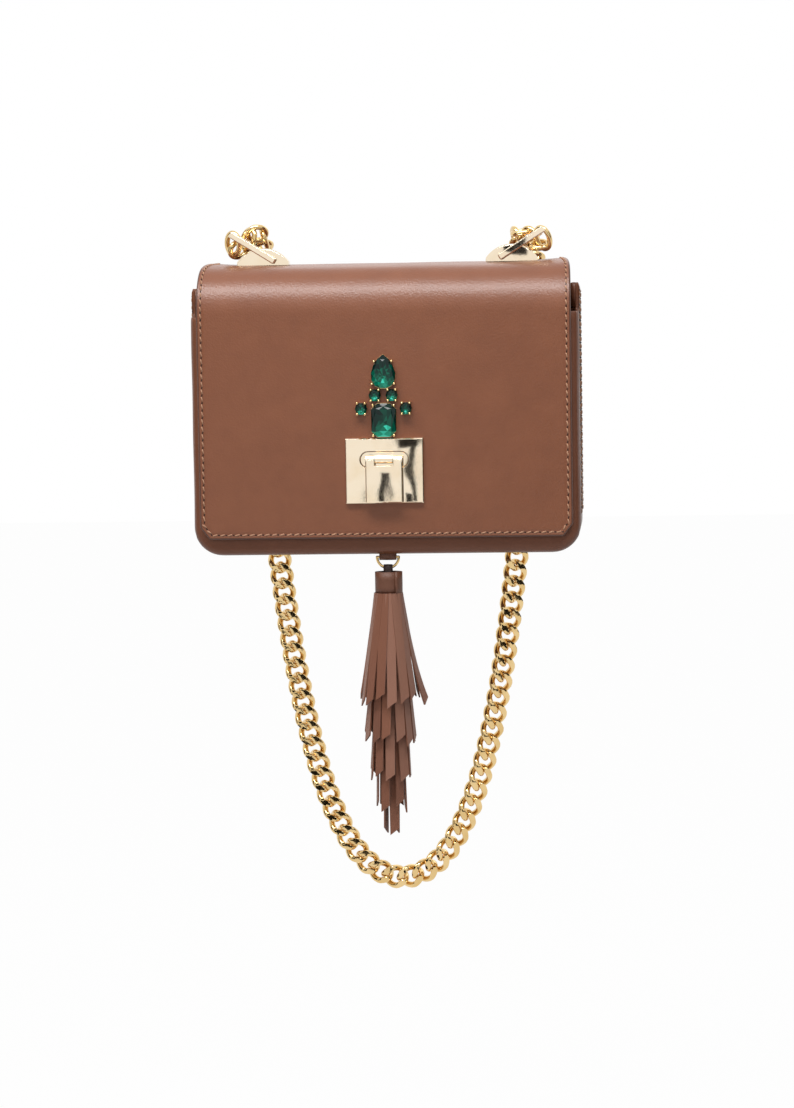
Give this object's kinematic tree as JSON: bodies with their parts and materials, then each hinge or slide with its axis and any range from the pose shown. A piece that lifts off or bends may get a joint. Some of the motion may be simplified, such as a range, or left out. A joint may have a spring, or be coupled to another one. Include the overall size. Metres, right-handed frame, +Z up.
{
  "type": "chain shoulder bag",
  "caption": "Structured brown leather flap bag with a looped gold curb chain strap, a gold flip lock, green stones in claw settings and a layered leather tassel.",
  "frame": {"origin": "centre of the flat base face of the side and base gusset", "axes": "+Z up from the base to the crest, +Y towards the back panel, +X to the right of someone facing the flap"},
  "size_m": [0.203, 0.0906, 0.3698],
  "materials": {
    "bag_leather": "smooth brown calf leather, semi matte",
    "lining_leather": "thin matte leather",
    "lining_cloth": "dark woven lining",
    "board": "pressed fibre board",
    "tassel_leather": "soft suede-backed leather",
    "pale_gold": "polished pale gold plating",
    "chain_gold": "polished yellow gold plating",
    "steel": "plain",
    "magnet": "dark ferrite",
    "green_gem": "polished faceted green glass"
  },
  "bodies": {
    "bag_body": {"front_panel": "bag_leather", "back_panel": "bag_leather", "gusset": "bag_leather", "top_strip": "bag_leather", "front_board": "board", "back_board": "board", "base_board": "board", "lining": "lining_cloth", "anchor_lug_right": "pale_gold", "anchor_lug_left": "pale_gold", "anchor_plates": "steel", "anchor_screws": "steel", "end_links_right": "chain_gold", "end_links_left": "chain_gold", "snap_stud": "pale_gold", "tassel_tab": "bag_leather"},
    "flap": {"flap_outer": "bag_leather", "flap_board": "board", "flap_lining": "lining_leather", "lock_plate": "pale_gold", "lock_bracket": "pale_gold", "lock_screws": "steel", "hasp_pin": "steel", "snap_socket": "pale_gold", "snap_magnet": "magnet", "pear_gem": "green_gem", "pear_setting": "chain_gold", "octagon_gem": "green_gem", "octagon_setting": "chain_gold", "round_gems": "green_gem", "round_settings": "chain_gold"},
    "hasp": {"hasp": "pale_gold"},
    "chain_strap": {"strap_links": "chain_gold", "swivel_links": "chain_gold"},
    "left_ring": {"anchor_ring_left": "pale_gold"},
    "right_ring": {"anchor_ring_right": "pale_gold"},
    "tassel_ring": {"tassel_ring": "chain_gold"},
    "tassel": {"tassel_loop": "tassel_leather", "tassel_cap": "tassel_leather", "tassel_core": "tassel_leather", "fringe_tier_1": "tassel_leather", "fringe_tier_2": "tassel_leather", "fringe_tier_3": "tassel_leather", "fringe_tier_4": "tassel_leather", "fringe_tier_5": "tassel_leather"}
  },
  "joints": [
    {"name": "flap_open", "type": "hinge", "parent": "bag_body", "child": "flap", "pos_m": [0, -0.0105, 0.152], "axis": [-1, 0, 0], "range_deg": [0, 110]},
    {"name": "hasp_flip", "type": "hinge", "parent": "flap", "child": "hasp", "pos_m": [0, -0.04125, 0.0498], "axis": [-1, 0, 0], "range_deg": [0, 110]},
    {"name": "strap_swing", "type": "hinge", "parent": "bag_body", "child": "chain_strap", "pos_m": [0, 0.04098, 0.1532], "axis": [1, 0, 0], "range_deg": [0, 170]},
    {"name": "left_ring_tilt", "type": "hinge", "parent": "bag_body", "child": "left_ring", "pos_m": [-0.0608, 0.002, 0.1549], "axis": [0, 1, 0], "range_deg": [0, 3]},
    {"name": "right_ring_tilt", "type": "hinge", "parent": "bag_body", "child": "right_ring", "pos_m": [0.0608, 0.002, 0.1549], "axis": [0, -1, 0], "range_deg": [0, 3]},
    {"name": "tassel_ring_swing", "type": "hinge", "parent": "bag_body", "child": "tassel_ring", "pos_m": [0, -0.0253, -0.0018], "axis": [-1, 0, 0], "range_deg": [-15, 50]},
    {"name": "tassel_sway", "type": "hinge", "parent": "tassel_ring", "child": "tassel", "pos_m": [0, -0.0253, -0.0018], "axis": [0, 1, 0], "range_deg": [-25, 25]}
  ]
}
